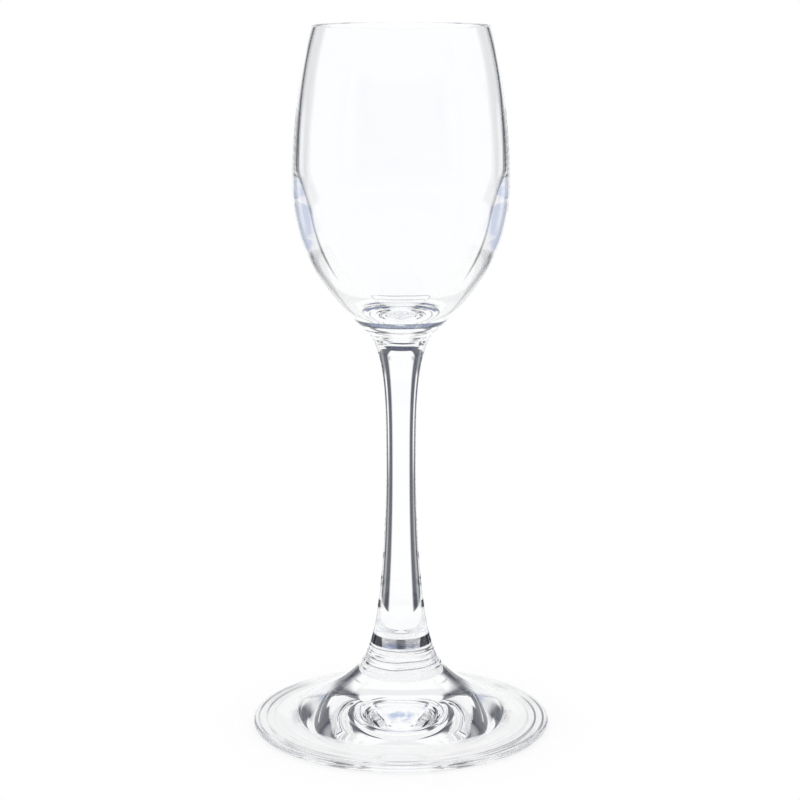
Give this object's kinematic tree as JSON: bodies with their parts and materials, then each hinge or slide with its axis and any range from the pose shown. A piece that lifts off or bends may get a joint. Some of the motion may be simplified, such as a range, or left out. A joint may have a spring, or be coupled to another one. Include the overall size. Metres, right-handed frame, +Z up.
{
  "type": "liqueur glass",
  "caption": "Small clear stemmed glass with a tulip cup that narrows to a fire-polished rim, a slim waisted solid stem and a round flared foot, for serving liqueur.",
  "frame": {"origin": "middle of the flat ring under the foot, on the glass's axis", "axes": "+Z up along the glass's axis, from the foot to the rim; the glass is round, so X and Y are free"},
  "size_m": [0.0642, 0.0642, 0.15],
  "materials": {
    "bowl_glass": "clear, blown, fire-polished",
    "stem_glass": "clear, drawn",
    "foot_glass": "clear, pressed, fire-polished"
  },
  "bodies": {
    "root": {"bowl": "bowl_glass", "stem": "stem_glass", "foot": "foot_glass"}
  },
  "joints": []
}
